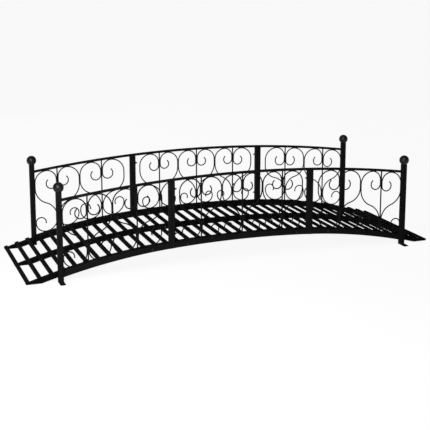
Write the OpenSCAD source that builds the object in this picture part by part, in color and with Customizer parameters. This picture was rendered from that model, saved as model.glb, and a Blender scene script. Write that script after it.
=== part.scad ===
// Arched garden bridge in black coated steel: three bolted sections,
// scrollwork side panels, ball finials on the end posts.
// Millimetres, +Z up, +X along the walk, front panels on the -Y side.
// Origin on the ground under the middle of the bridge.

/* [Deck] */
// Clear width of the walk between the side panels
walk_width = 644; // [580:1:770]
// Width of a slat's flat tube along the walk
slat_width = 20; // [16:0.5:24]
// Height of a slat's flat tube
slat_height = 6.4; // [5.5:0.1:9]
// Slats in each of the three sections
slats_per_section = 13; // [13:2:13]
// Place of a section joint in the gap between its two slats, as a share of their pitch
joint_share = 0.565; // [0.4:0.001:0.6]
// Side of the outer stringers' square tube
stringer_size = 25; // [22:0.5:28]
// Side of the centre stringer's square tube
centre_size = 25; // [20:0.5:28]

/* [Arch] */
// Radius of the deck frame's lower edge in the middle section
crown_radius = 5500; // [5300:10:5900]
// Radius of that edge in the end sections
haunch_radius = 2990; // [2900:10:3150]
// Height that is left of the stringers at the tips, where they are cut level with the ground
tip_height = 3.1; // [2:0.1:8]

/* [Posts] */
// Side of an end post's square tube
post_size = 25; // [22:0.5:28]
// Top of an end post
post_height = 429.5; // [425:0.5:450]
// Width of an upright at a section joint
upright_width = 14.5; // [12:0.5:18]
// Diameter of a ball finial
ball_diameter = 50; // [44:1:56]
// Share of the ball's radius between its centre and the flat on the post
ball_seat_share = 0.88; // [0.86:0.01:0.93]

/* [Feet] */
// Thickness of a foot tab
foot_thickness = 4; // [3:0.5:6]
// Width of a foot tab
foot_width = 25; // [20:0.5:28]
// Reach of a foot tab beyond the post
foot_reach = 39; // [32:1:50]
// Stake hole in a foot tab
foot_hole = 9; // [6:0.5:11]
// Stake hole centre, measured from the tab's outer end
foot_hole_inset = 14; // [11:0.5:18]

/* [Rails] */
// Side of the top rail's square tube
rail_size = 12; // [10:0.1:16]
// Top of the top rail below the top of the end posts, at their middle
rail_drop = 33.2; // [30:0.1:45]
// Radius of the top rail's upper face
rail_radius = 6420; // [6200:10:6800]
// Side of the bottom rail's square tube
bottom_rail_size = 25; // [22:0.5:28]

/* [Scrolls] */
// Thickness of the rods that stand in the hearts
rod_size = 6; // [5:0.1:8]
// Thickness of the S-scrolls
scroll_size = 5; // [4:0.1:7]
// Hearts in an end panel
end_hearts = 2; // [2:1:2]
// Half width of a heart in an end panel
end_heart_half = 120; // [105:0.5:135]
// Space between the hearts of an end panel and its upright, which the edge scroll reaches into
end_gap = 36; // [12:0.5:60]
// Hearts in a middle panel
mid_hearts = 3; // [3:1:3]
// Half width of a heart in a middle panel
mid_heart_half = 107.5; // [95:0.5:120]
// The same space in a middle panel, on both sides
mid_gap = 29; // [12:0.5:50]
// Extra width of the S-scrolls that stand beside an upright
edge_extra = 5.5; // [0:0.5:8]
// Depth by which touching bars are welded into each other
weld_bite = 0.6; // [0.3:0.1:1]

/* [Tubes] */
// Wall of the posts, uprights, bottom rails and stringers
frame_wall = 1.2; // [1:0.1:2]
// Rounding of those tubes' edges
frame_round = 2; // [1:0.1:3]
// Wall of the slats and top rails
slim_wall = 1; // [0.8:0.1:1.5]
// Rounding of those tubes' edges
slim_round = 1.2; // [0.6:0.1:2]
// Wall of a ball finial
ball_wall = 1.5; // [1:0.1:2.5]

/* [Splices] */
// Length of a splice plate
splice_length = 240; // [200:1:260]
// Thickness of a splice plate
splice_thickness = 4; // [3:0.5:6]
// Height of a splice plate
splice_height = 19; // [15:0.5:21]

/* [Hidden] */

coat = [0.09, 0.09, 0.1];
coat_light = [0.16, 0.16, 0.17];
big_fn = 720;
ball_fn = 96;
hole_fn = 48;
bend_fn = 144;
wedge_steps = 8;
wedge_share = 1.5;
sweep_steps = 12;
round_steps = 3;

front = -1;
back = 1;
left = -1;
right = 1;

// along the bridge: the panels are as wide as their hearts, and the slats follow the sections
mid_face = mid_hearts * mid_heart_half + mid_gap;
joint_x = mid_face + upright_width;
end_face = joint_x + upright_width;
post_face = end_face + end_gap + 2 * end_hearts * end_heart_half;
end_post_x = post_face + post_size / 2;
last_slat = (3 * slats_per_section - 1) / 2;
mid_slat = (slats_per_section - 1) / 2;
slat_pitch = to_hundredth(joint_x / (mid_slat + joint_share));
tip_x = last_slat * slat_pitch + slat_width / 2;

// deck edge: crown arc in the middle, a tighter tangent arc in each end section down to the tip
crown_angle = asin(joint_x / crown_radius);
haunch_x = joint_x - haunch_radius * sin(crown_angle);
haunch_rise = (crown_radius - haunch_radius) * cos(crown_angle);
tip_rise = sqrt(pow(haunch_radius + stringer_size, 2) - pow(tip_x - haunch_x, 2));
crown_z = to_hundredth(tip_height - haunch_rise - tip_rise);
haunch_z = crown_z + haunch_rise;

// top rail, which keeps its place below the tops of the end posts
rail_rise = rail_radius - sqrt(pow(rail_radius, 2) - pow(end_post_x, 2));
rail_height = to_hundredth(post_height - rail_drop + rail_rise);
rail_z = rail_height - rail_radius;
far_x = 2 * tip_x;
far_z = 2 * rail_height;
side_y = walk_width / 2;
rail_plane_y = side_y + bottom_rail_size / 2;
ball_r = ball_diameter / 2;

// hearts: rods of one panel, and the shares of a heart's half width that shape an S-scroll
end_pitch = 2 * end_heart_half - weld_bite;
mid_pitch = 2 * mid_heart_half - weld_bite;
end_rods = [for (i = [0:end_hearts - 1]) post_face - (i + 0.5) * end_pitch];
mid_rods = [for (i = [0:mid_hearts - 1]) (i - (mid_hearts - 1) / 2) * mid_pitch];
top_share = 0.41;
top_curl_share = 0.225;
top_run_share = 0.176;
low_share = 0.55;
low_curl_share = 0.22;
low_run_share = 0.02;
shoulder_share = 0.263;
point_share = 0.528;
spare_share = 0.03;
top_curl_end = -232;
low_curl_end = -13;

function deck_z(x, lift) = abs(x) <= joint_x
    ? crown_z + sqrt(pow(crown_radius + lift, 2) - x * x)
    : haunch_z + sqrt(pow(haunch_radius + lift, 2) - pow(abs(x) - haunch_x, 2));
function rail_under(x) = rail_z + sqrt(pow(rail_radius - rail_size, 2) - x * x);
function to_hundredth(v) = round(v * 100) / 100;
function wedge(r, a, b) = concat(
    [[0, 0]],
    [for (i = [0:wedge_steps]) let (t = a + (b - a) * i / wedge_steps) wedge_share * r * [cos(t), sin(t)]]
);

function arc_points(x, z, r, a, b) = [
    for (i = [0:sweep_steps]) let (t = a + (b - a) * i / sweep_steps) [x + r * cos(t), z + r * sin(t)]
];

// outline of a square tube with rounded edges
function tube_outline(wide, high, r) = [
    for (q = [0:3], i = [0:round_steps])
        let (t = 90 * (q + i / round_steps))
        let (x = wide / 2 - r, y = high / 2 - r)
        [
            to_hundredth((q == 0 || q == 3 ? x : -x) + r * cos(t)),
            to_hundredth((q < 2 ? y : -y) + r * sin(t))
        ]
];

// highest place for an S-scroll's upper lobe under the top rail, and lowest for its lower lobe
function lobe_top(x, s, near, ra, rb) = to_hundredth(weld_bite + min([
    for (a = [0:5:90])
        let (r = a < 45 ? ra : rb, q = 45 + a)
        let (reach = r + scroll_size / 2)
        rail_under(x + s * (near - ra + reach * cos(q))) + r - reach * sin(q)
]));
function lobe_bottom(x, s, near, rf, rg) = to_hundredth(-weld_bite + max([
    for (a = [0:5:90])
        let (r = a < 45 ? rg : rf, q = 225 + a)
        let (reach = r + scroll_size / 2)
        deck_z(x + s * (near - rf + reach * cos(q)), bottom_rail_size) - r - reach * sin(q)
]));

// flat shapes, drawn in the plane of a side panel: x along the bridge, y up
module span(a, b) {
    translate([min(a, b), -far_z])
        square([abs(b - a), 2 * far_z]);
}

module under_rail() {
    translate([0, rail_z])
        circle(r = rail_radius - rail_size, $fn = big_fn);
}

module over_crown(lift) {
    translate([0, crown_z])
        circle(r = crown_radius + lift, $fn = big_fn);
}

module over_haunch(lift) {
    translate([haunch_x, haunch_z])
        circle(r = haunch_radius + lift, $fn = big_fn);
}

module above_ground() {
    translate([-far_x, 0])
        square([2 * far_x, far_z]);
}

module arc_bar(x, z, r, a, b) {
    translate([x, z])
        intersection() {
            difference() {
                circle(r = r + scroll_size / 2, $fn = bend_fn);
                circle(r = r - scroll_size / 2, $fn = bend_fn);
            }
            polygon(wedge(r, a, b));
        }
}

module run_bar(x, low, high, thick) {
    translate([x - thick / 2, low])
        square([thick, high - low]);
}

// the slanting middle of an S-scroll: two opposite arcs that run from upright to upright
module sweep_bar(from_x, to_x, high, low) {
    turn = 2 * atan((to_x - from_x) / (high - low));
    r = (high - low) / 2 / sin(turn);
    thick = scroll_size / 2;
    polygon(concat(
        arc_points(from_x + r, high, r + thick, 180, 180 + turn),
        arc_points(to_x - r, low, r - thick, turn, 0),
        arc_points(to_x - r, low, r + thick, 0, turn),
        arc_points(from_x + r, high, r - thick, 180 + turn, 180)
    ));
}

// one S-scroll on the left of its rod at x = 0; x and s place it on the bridge,
// and both scrolls of a heart come to their rod at one height, the heart's point
module s_scroll(x, s, half, extra) {
    wide = half + extra;
    near = -((rod_size + scroll_size) / 2 - weld_bite);
    out = -(wide - scroll_size / 2);
    ra = to_hundredth(top_share * wide);
    rb = near - out - ra;
    rc = to_hundredth(top_curl_share * wide);
    rh = to_hundredth(low_curl_share * wide);
    point_z = to_hundredth(deck_z(x, bottom_rail_size) + point_share * half);
    full_rf = to_hundredth(low_share * wide);
    room = point_z - lobe_bottom(x, s, near, full_rf, near - out - full_rf);
    rf = to_hundredth(min(full_rf, room - spare_share * wide));
    rg = near - out - rf;
    top = lobe_top(x, s, near, ra, rb);
    bottom = lobe_bottom(x, s, near, rf, rg);
    curl_z = top - ra - to_hundredth(top_run_share * wide);
    bend_z = top - rb - to_hundredth(shoulder_share * wide);
    low_z = bottom + rg + to_hundredth(low_run_share * wide);
    translate([x, 0])
        mirror([s < 0 ? 1 : 0, 0]) {
            arc_bar(near - rc, curl_z, rc, top_curl_end, 0);
            run_bar(near, curl_z, top - ra, scroll_size);
            arc_bar(near - ra, top - ra, ra, 0, 90);
            arc_bar(near - ra, top - rb, rb, 90, 180);
            run_bar(out, bend_z, top - rb, scroll_size);
            sweep_bar(out, near, bend_z, point_z);
            run_bar(near, bottom + rf, point_z, scroll_size);
            arc_bar(near - rf, bottom + rf, rf, -90, 0);
            arc_bar(near - rf, bottom + rg, rg, 180, 270);
            run_bar(out, bottom + rg, low_z, scroll_size);
            arc_bar(out + rh, low_z, rh, low_curl_end, 180);
        }
}

module heart(x, half, left_extra, right_extra) {
    run_bar(x, 0, rail_height, rod_size);
    s_scroll(x, right, half, left_extra);
    s_scroll(x, left, half, right_extra);
}

module end_opening() {
    intersection() {
        span(end_face, post_face);
        difference() {
            under_rail();
            over_haunch(bottom_rail_size);
        }
    }
}

module mid_opening() {
    intersection() {
        span(-mid_face, mid_face);
        difference() {
            under_rail();
            over_crown(bottom_rail_size);
        }
    }
}

// stand a flat shape up in a plane along the bridge
module upright_plate(y, depth) {
    translate([0, y, 0])
        rotate([90, 0, 0])
            linear_extrude(depth, center = true)
                children();
}

module corner(x, y) {
    mirror([x < 0 ? 1 : 0, 0, 0])
        mirror([0, y < 0 ? 1 : 0, 0])
            children();
}

// cross-section of a square or flat tube
module frame_section(wide, high) {
    difference() {
        polygon(tube_outline(wide, high, frame_round));
        square([wide - 2 * frame_wall, high - 2 * frame_wall], center = true);
    }
}

module slim_section(wide, high) {
    difference() {
        polygon(tube_outline(wide, high, slim_round));
        square([wide - 2 * slim_wall, high - 2 * slim_wall], center = true);
    }
}

// carry a cross-section round an arc in the plane of a side panel
module bend(x, z, radius) {
    translate([x, 0, z])
        rotate([90, 0, 0])
            rotate_extrude(angle = 180, $fn = big_fn)
                translate([radius, 0])
                    children();
}

// keep what lies between two places along the bridge, above the ground
module cut_to(a, b) {
    intersection() {
        children();
        upright_plate(0, walk_width)
            intersection() {
                span(a, b);
                above_ground();
            }
    }
}

// sub-parts on the +X, +Y side
module end_post() {
    color(coat)
        translate([end_post_x, rail_plane_y, foot_thickness])
            linear_extrude(post_height - foot_thickness)
                frame_section(post_size, post_size);
}

module finial() {
    seat = ball_seat_share * ball_r;
    color(coat_light)
        translate([end_post_x, rail_plane_y, post_height])
            intersection() {
                translate([0, 0, seat])
                    difference() {
                        sphere(r = ball_r, $fn = ball_fn);
                        sphere(r = ball_r - ball_wall, $fn = ball_fn);
                    }
                translate([-ball_r, -ball_r, 0])
                    cube([ball_diameter, ball_diameter, ball_diameter]);
            }
}

module foot() {
    inner = rail_plane_y - post_size / 2;
    long = post_size + foot_reach;
    color(coat)
        difference() {
            translate([end_post_x - foot_width / 2, inner, 0])
                cube([foot_width, long, foot_thickness]);
            translate([end_post_x, inner + long - foot_hole_inset, -foot_thickness])
                cylinder(d = foot_hole, h = 3 * foot_thickness, $fn = hole_fn);
        }
}

// upright of a panel: a flat tube cut to the top rail above and the deck's lower edge below
module upright(x) {
    intersection() {
        translate([x, rail_plane_y, 0])
            linear_extrude(rail_height)
                frame_section(upright_width, bottom_rail_size);
        upright_plate(rail_plane_y, 2 * bottom_rail_size)
            intersection() {
                span(x - upright_width, x + upright_width);
                difference() {
                    under_rail();
                    children();
                }
            }
    }
}

module end_upright() {
    color(coat)
        upright(joint_x + upright_width / 2)
            over_haunch(0);
}

module mid_uprights() {
    color(coat)
        for (s = [left, right])
            upright(s * (joint_x - upright_width / 2))
                over_crown(0);
}

module top_rail(a, b) {
    color(coat_light)
        translate([0, rail_plane_y, 0])
            cut_to(a, b)
                bend(0, rail_z, rail_radius - rail_size / 2)
                    slim_section(rail_size, rail_size);
}

module end_bottom_rail() {
    color(coat)
        translate([0, rail_plane_y, 0])
            cut_to(end_face, post_face)
                bend(haunch_x, haunch_z, haunch_radius + bottom_rail_size / 2)
                    frame_section(bottom_rail_size, bottom_rail_size);
}

module mid_bottom_rail() {
    color(coat)
        translate([0, rail_plane_y, 0])
            cut_to(-mid_face, mid_face)
                bend(0, crown_z, crown_radius + bottom_rail_size / 2)
                    frame_section(bottom_rail_size, bottom_rail_size);
}

module end_scrolls() {
    last = end_hearts - 1;
    color(coat_light)
        upright_plate(rail_plane_y, rod_size)
            intersection() {
                end_opening();
                union() {
                    for (i = [0:last])
                        heart(end_rods[i], end_heart_half, i == last ? edge_extra : 0, 0);
                }
            }
}

module mid_scrolls() {
    last = mid_hearts - 1;
    color(coat_light)
        upright_plate(rail_plane_y, rod_size)
            intersection() {
                mid_opening();
                union() {
                    for (i = [0:last])
                        heart(
                            mid_rods[i], mid_heart_half,
                            i == 0 ? edge_extra : 0, i == last ? edge_extra : 0
                        );
                }
            }
}

module end_stringer(y, size) {
    translate([0, y, 0])
        cut_to(joint_x, tip_x)
            bend(haunch_x, haunch_z, haunch_radius + stringer_size - size / 2)
                children();
}

module mid_stringer(y, size) {
    translate([0, y, 0])
        cut_to(-joint_x, joint_x)
            bend(0, crown_z, crown_radius + stringer_size - size / 2)
                children();
}

module end_stringers() {
    color(coat) {
        for (s = [front, back])
            end_stringer(s * (side_y - stringer_size / 2), stringer_size)
                frame_section(stringer_size, stringer_size);
        end_stringer(0, centre_size)
            frame_section(centre_size, centre_size);
    }
}

module mid_stringers() {
    color(coat) {
        for (s = [front, back])
            mid_stringer(s * (side_y - stringer_size / 2), stringer_size)
                frame_section(stringer_size, stringer_size);
        mid_stringer(0, centre_size)
            frame_section(centre_size, centre_size);
    }
}

// flat plates standing against the stringers across a section joint
module splice(y) {
    translate([joint_x, y, deck_z(joint_x, stringer_size / 2)])
        rotate([0, crown_angle, 0])
            cube([splice_length, splice_thickness, splice_height], center = true);
}

module splices() {
    side_in = side_y - stringer_size - splice_thickness / 2;
    centre_in = centre_size / 2 + splice_thickness / 2;
    color(coat) {
        splice(side_in);
        splice(centre_in);
        splice(-side_in);
    }
}

module slat() {
    translate([0, 0, slat_height / 2])
        rotate([90, 0, 0])
            linear_extrude(walk_width, center = true)
                slim_section(slat_width, slat_height);
}

module end_slats() {
    color(coat_light)
        for (i = [mid_slat + 1:last_slat]) {
            r = haunch_radius + stringer_size;
            a = asin((i * slat_pitch - haunch_x) / r);
            translate([haunch_x, 0, haunch_z])
                rotate([0, a, 0])
                    translate([0, 0, r])
                        slat();
        }
}

module mid_slats() {
    color(coat_light)
        for (i = [-mid_slat:mid_slat]) {
            r = crown_radius + stringer_size;
            a = asin(i * slat_pitch / r);
            translate([0, 0, crown_z])
                rotate([0, a, 0])
                    translate([0, 0, r])
                        slat();
        }
}

corner(left, front) end_post();  // end_post_front_left
corner(right, front) end_post();  // end_post_front_right
corner(left, back) end_post();  // end_post_back_left
corner(right, back) end_post();  // end_post_back_right
corner(left, front) finial();  // finial_front_left
corner(right, front) finial();  // finial_front_right
corner(left, back) finial();  // finial_back_left
corner(right, back) finial();  // finial_back_right
corner(left, front) foot();  // foot_front_left
corner(right, front) foot();  // foot_front_right
corner(left, back) foot();  // foot_back_left
corner(right, back) foot();  // foot_back_right
corner(left, front) end_upright();  // end_upright_front_left
corner(right, front) end_upright();  // end_upright_front_right
corner(left, back) end_upright();  // end_upright_back_left
corner(right, back) end_upright();  // end_upright_back_right
corner(right, front) mid_uprights();  // mid_uprights_front
corner(right, back) mid_uprights();  // mid_uprights_back
corner(left, front) top_rail(joint_x, post_face);  // top_rail_front_left
corner(right, front) top_rail(-joint_x, joint_x);  // top_rail_front_mid
corner(right, front) top_rail(joint_x, post_face);  // top_rail_front_right
corner(left, back) top_rail(joint_x, post_face);  // top_rail_back_left
corner(right, back) top_rail(-joint_x, joint_x);  // top_rail_back_mid
corner(right, back) top_rail(joint_x, post_face);  // top_rail_back_right
corner(left, front) end_bottom_rail();  // bottom_rail_front_left
corner(right, front) mid_bottom_rail();  // bottom_rail_front_mid
corner(right, front) end_bottom_rail();  // bottom_rail_front_right
corner(left, back) end_bottom_rail();  // bottom_rail_back_left
corner(right, back) mid_bottom_rail();  // bottom_rail_back_mid
corner(right, back) end_bottom_rail();  // bottom_rail_back_right
corner(left, front) end_scrolls();  // scrolls_front_left
corner(right, front) mid_scrolls();  // scrolls_front_mid
corner(right, front) end_scrolls();  // scrolls_front_right
corner(left, back) end_scrolls();  // scrolls_back_left
corner(right, back) mid_scrolls();  // scrolls_back_mid
corner(right, back) end_scrolls();  // scrolls_back_right
corner(left, back) end_stringers();  // stringers_left
mid_stringers();  // stringers_mid
corner(right, back) end_stringers();  // stringers_right
corner(left, back) splices();  // splices_left
corner(right, back) splices();  // splices_right
corner(left, back) end_slats();  // slats_left
mid_slats();  // slats_mid
corner(right, back) end_slats();  // slats_right
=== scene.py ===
"""Looks of a small arched garden bridge in black coated steel, dressed on its solids.

Metres, +Z up, +X along the walk. The front panels stand on the -Y side.
"""

import logging
import math
from dataclasses import dataclass, field
from enum import Enum

import bpy
import numpy as np
from mathutils import Matrix, Vector


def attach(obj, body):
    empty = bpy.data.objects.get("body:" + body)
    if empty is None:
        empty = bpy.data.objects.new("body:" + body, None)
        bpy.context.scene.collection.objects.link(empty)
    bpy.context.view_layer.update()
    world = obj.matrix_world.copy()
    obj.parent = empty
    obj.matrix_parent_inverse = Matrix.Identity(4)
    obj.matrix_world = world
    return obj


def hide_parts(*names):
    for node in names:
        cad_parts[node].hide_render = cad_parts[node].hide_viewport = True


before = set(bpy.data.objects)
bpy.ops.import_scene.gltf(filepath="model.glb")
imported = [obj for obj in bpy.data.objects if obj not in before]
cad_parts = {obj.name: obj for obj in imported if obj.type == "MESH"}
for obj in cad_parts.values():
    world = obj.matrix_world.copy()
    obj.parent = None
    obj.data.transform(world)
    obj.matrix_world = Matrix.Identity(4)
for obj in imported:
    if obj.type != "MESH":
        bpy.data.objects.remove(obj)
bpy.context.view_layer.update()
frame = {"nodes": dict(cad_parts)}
LOG = logging.getLogger("garden_bridge")
Array = np.ndarray
Pair = tuple[float, float]
Triple = tuple[float, float, float]
Band = tuple[float, float, float, float]
Inputs = dict[int | str, object]
Piece = bpy.types.Object
Node = bpy.types.Node
Tree = bpy.types.NodeTree
Socket = bpy.types.NodeSocket
Sockets = bpy.types.bpy_prop_collection
ALONG, ACROSS, UP = np.eye(3)
BOTH_WAYS = np.array([-1.0, 1.0])
RUN_ALONG = np.eye(3)
RUN_ACROSS = np.stack([ACROSS, -ALONG, UP], -1)
RUN_UP = np.stack([UP, ACROSS, -ALONG], -1)


class Side(Enum):
    """The two long sides of the bridge, by the sign of Y."""

    FRONT = -1
    BACK = 1


class Bay(Enum):
    """The three bays along the bridge, by the sign of X."""

    LEFT = -1
    MID = 0
    RIGHT = 1


class Hand(Enum):
    """The two scrolls of a heart, by the side of the rod. The right one is the left one turned over."""

    LEFT = 1
    RIGHT = -1


class Rail(Enum):
    """The two rails of a panel, by the way that a scroll presses on them."""

    TOP = 1
    BOTTOM = -1


def points_at(x: Array | float, y: Array | float, z: Array | float) -> Array:
    """Points from their coordinates, each of them an array or one number for all."""
    return np.stack(np.broadcast_arrays(x, y, z), -1)


def circle(sides: int) -> Array:
    """Points (u, v) of a circle of radius 1, anticlockwise."""
    a = np.linspace(0.0, 2 * math.pi, sides, endpoint=False)
    return np.stack([np.cos(a), np.sin(a)], -1)


@dataclass(frozen=True)
class BridgeSizes:
    """Sizes of the bridge that its dressing is placed by, in metres."""

    half_walk: float = 0.322
    joint_x: float = 0.366
    upright_width: float = 0.0145
    end_post_x: float = 0.909
    post_size: float = 0.025
    post_top: float = 0.4295
    ball_radius: float = 0.025
    ball_seat: float = 0.022
    foot_thickness: float = 0.004
    rail_size: float = 0.012
    rail_top: float = 0.46098
    rail_radius: float = 6.42
    bottom_rail: float = 0.025
    stringer: float = 0.025
    centre_stringer: float = 0.025
    splice_thickness: float = 0.004
    slat_width: float = 0.02
    slat_pitch: float = 0.05575
    slats_per_section: int = 13
    crown_radius: float = 5.5
    crown_z: float = -5.37818
    haunch_radius: float = 2.99

    @property
    def panel_y(self) -> float:
        """Distance of a side panel's middle plane from the middle of the walk."""
        return self.half_walk + self.bottom_rail / 2

    @property
    def mid_face(self) -> float:
        """Inner face of the middle bay's uprights."""
        return self.joint_x - self.upright_width

    @property
    def end_face(self) -> float:
        """Inner face of the end bays' uprights."""
        return self.joint_x + self.upright_width

    @property
    def post_face(self) -> float:
        """Inner face of the end posts."""
        return self.end_post_x - self.post_size / 2

    @property
    def haunch(self) -> Pair:
        """The arc of the right end section, which is tangent to the middle one at the joint.

        Returns:
            X and Z of its centre.
        """
        turn = math.asin(self.joint_x / self.crown_radius)
        x = self.joint_x - self.haunch_radius * math.sin(turn)
        z = self.crown_z + (self.crown_radius - self.haunch_radius) * math.cos(turn)
        return x, z

    def deck_z(self, x: Array, lift: float) -> Array:
        """Height of the deck frame's lower edge, raised square to it by a lift.

        The edge is a circle in the middle section and a tighter circle, tangent to it, in each end section.

        Args:
            x: Places along the bridge.
            lift: Distance above the edge.

        Returns:
            Heights at those places.
        """
        x = np.abs(np.asarray(x, float))
        hx, hz = self.haunch
        crown = self.crown_z + np.sqrt((self.crown_radius + lift) ** 2 - x**2)
        haunch = hz + np.sqrt((self.haunch_radius + lift) ** 2 - np.maximum(x - hx, 0.0) ** 2)
        return np.where(x <= self.joint_x, crown, haunch)

    def deck_axes(self, x: Array) -> Array:
        """Frames on the deck: X along the walk, Y across it and Z square to it.

        The sine of the deck's lean is the distance along X from the arc's centre, over the arc's radius.

        Args:
            x: Places along the bridge.

        Returns:
            3 x 3 matrices with these axes as columns.
        """
        far = np.abs(x)
        haunch = np.sign(x) * (far - self.haunch[0]) / self.haunch_radius
        sine = np.where(far <= self.joint_x, x / self.crown_radius, haunch)
        along = points_at(np.sqrt(1 - sine**2), 0.0, -sine)
        across = np.broadcast_to(ACROSS, along.shape)
        return np.stack([along, across, np.cross(along, across)], -1)

    def rail_over(self, x: Array) -> Array:
        """Height of the bottom rail's upper face, which follows the deck frame's edge."""
        return self.deck_z(x, self.bottom_rail)

    def rail_under(self, x: Array) -> Array:
        """Height of the top rail's lower face: a circle about a point far below mid-span."""
        x = np.asarray(x, float)
        return self.rail_top - self.rail_radius + np.sqrt((self.rail_radius - self.rail_size) ** 2 - x**2)

    def slat_places(self) -> Array:
        """Places of all the slats along the bridge, evenly spaced about mid-span."""
        last = (len(Bay) * self.slats_per_section - 1) // 2
        return np.arange(-last, last + 1) * self.slat_pitch


@dataclass
class Surface:
    """Points and faces of a piece while it is worked out, before it becomes a mesh.

    Attributes:
        points: One row of three coordinates for each point.
        quads: One row of four point numbers for each four-sided face.
        tris: One row of three point numbers for each three-sided face.
    """

    points: Array
    quads: Array
    tris: Array

    @staticmethod
    def capped(rings: Array, ends: Array) -> "Surface":
        """A skin over a row of closed rings, with the first and the last closed by fans onto middle points.

        Quads go from ring point to the next in the ring, and to the same two on the next ring.

        Args:
            rings: Points of each ring in turn, as many in every ring.
            ends: Middle points of the first ring and of the last.

        Returns:
            The closed surface. It faces outwards where the rings turn anticlockwise about the way they go.
        """
        rows, columns = rings.shape[:2]
        i, j = np.meshgrid(np.arange(rows - 1) * columns, np.arange(columns), indexing="ij")
        k = (j + 1) % columns
        quads = np.stack([i + j, i + k, i + columns + k, i + columns + j], -1)
        j, k = j[0], k[0]
        top, middle = (rows - 1) * columns, np.full(columns, rows * columns)
        tris = np.concatenate([np.stack([middle, k, j], -1), np.stack([middle + 1, top + j, top + k], -1)])
        return Surface(np.concatenate([rings.reshape(-1, 3), ends]), quads.reshape(-1, 4), tris)

    @staticmethod
    def joined(parts: list["Surface"]) -> "Surface":
        """Several surfaces as one, with each part's point numbers moved past those before it."""
        starts = np.cumsum([0] + [len(p.points) for p in parts[:-1]])
        return Surface(
            np.concatenate([p.points for p in parts]),
            np.concatenate([p.quads + s for p, s in zip(parts, starts)]),
            np.concatenate([p.tris + s for p, s in zip(parts, starts)]),
        )

    def placed(self, origins: Array, frames: Array) -> "Surface":
        """Copies of this surface, one for each place.

        A point goes to origin + frame * point, for every place and point at once.

        Args:
            origins: One row of three coordinates for each place.
            frames: A 3 x 3 matrix for each place or one for all, its columns the local axes.

        Returns:
            All the copies as one surface.
        """
        frames = np.broadcast_to(frames, (len(origins), 3, 3))
        points = origins[:, None, :] + np.einsum("kij,nj->kni", frames, self.points)
        steps = (np.arange(len(origins)) * len(self.points))[:, None, None]
        return Surface(
            points.reshape(-1, 3),
            (self.quads[None] + steps).reshape(-1, 4),
            (self.tris[None] + steps).reshape(-1, 3),
        )

    def build(self, name: str, crease_deg: float = 38.0) -> Piece:
        """Makes the mesh object, smooth but for creases sharper than an angle, and links it.

        Args:
            name: Name of the object.
            crease_deg: Faces that meet at a sharper angle keep a hard edge.

        Returns:
            The new object, at the origin.
        """
        mesh = bpy.data.meshes.new(name)
        mesh.from_pydata(self.points.tolist(), [], self.quads.tolist() + self.tris.tolist())
        mesh.polygons.foreach_set("use_smooth", np.ones(len(mesh.polygons), bool))
        mesh.set_sharp_from_angle(angle=math.radians(crease_deg))
        mesh.update()
        piece = bpy.data.objects.new(name, mesh)
        bpy.context.scene.collection.objects.link(piece)
        return piece


def carried(profile: Array, path: Array, heading: Array) -> Surface:
    """A closed profile carried along a path that lies in a plane across Y, with its ends capped.

    Each ring is path + u * aside + v * Y, where aside is the heading turned a quarter in that plane.

    Args:
        profile: Points (u, v) of the profile, anticlockwise.
        path: Points (x, y, z) of the path.
        heading: Unit direction (x, z) of the path at each point.

    Returns:
        The swept surface.
    """
    aside = points_at(heading[:, 1], 0.0, -heading[:, 0])
    rings = path[:, None, :] + profile[None, :, :1] * aside[:, None, :] + profile[None, :, 1:] * ACROSS
    return Surface.capped(rings, path[[0, -1]])


def turned(outline: Array, sides: int) -> Surface:
    """An outline (radius, height) turned about Z: each point is (r cos a, r sin a, h) on a ring of sides.

    Args:
        outline: Radius and height of each ring, from the lowest to the highest.
        sides: Points round each ring.

    Returns:
        The turned surface, closed by a fan at either end.
    """
    spokes = points_at(*circle(sides).T, 0.0)
    rings = outline[:, None, :1] * spokes + outline[:, None, 1:] * UP
    return Surface.capped(rings, outline[[0, -1], 1:] * UP)


@dataclass(frozen=True)
class Bead:
    """A weld bead: an ellipsoid whose girth swells and shrinks a few times over its length.

    Attributes:
        length: Length of the bead.
        width: Width across it.
        ripples: Swellings along it.
        swell: Height of a swelling, as a share of the girth.
        tip: Where its ends are cut, as a share of the half turn from end to end.
        rings: Rings of points along it.
        sides: Points in each ring.
    """

    length: float
    width: float
    ripples: int = 3
    swell: float = 0.12
    tip: float = 0.06
    rings: int = 9
    sides: int = 8

    def surface(self) -> Surface:
        """The bead along local X.

        A point is (length / 2 * cos v, g sin v cos u, g sin v sin u), where the girth's half
        g = width / 2 * (1 + swell * cos(2 ripples v)).

        Returns:
            Its surface, with a few dozen faces.
        """
        v = np.linspace(math.pi * (1 - self.tip), math.pi * self.tip, self.rings)
        girth = self.width / 2 * np.sin(v) * (1 + self.swell * np.cos(2 * self.ripples * v))
        lathe = turned(np.stack([girth, self.length / 2 * np.cos(v)], -1), self.sides)
        return Surface(lathe.points[:, [2, 0, 1]], lathe.quads, lathe.tris)

    def set_at(self, spots: Array, planes: Array, axes: Array) -> Surface:
        """Beads at the same places on two planes across Y.

        Args:
            spots: The places (x, z).
            planes: Distances y of the planes.
            axes: Axes of a bead as columns. It runs along the first.

        Returns:
            All the beads as one surface.
        """
        x, z = spots.T
        return self.surface().placed(np.concatenate([points_at(x, y, z) for y in planes]), axes)


def grey(tone: float) -> Band:
    """A plain grey as a colour socket takes it."""
    return (tone, tone, tone, 1.0)


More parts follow.
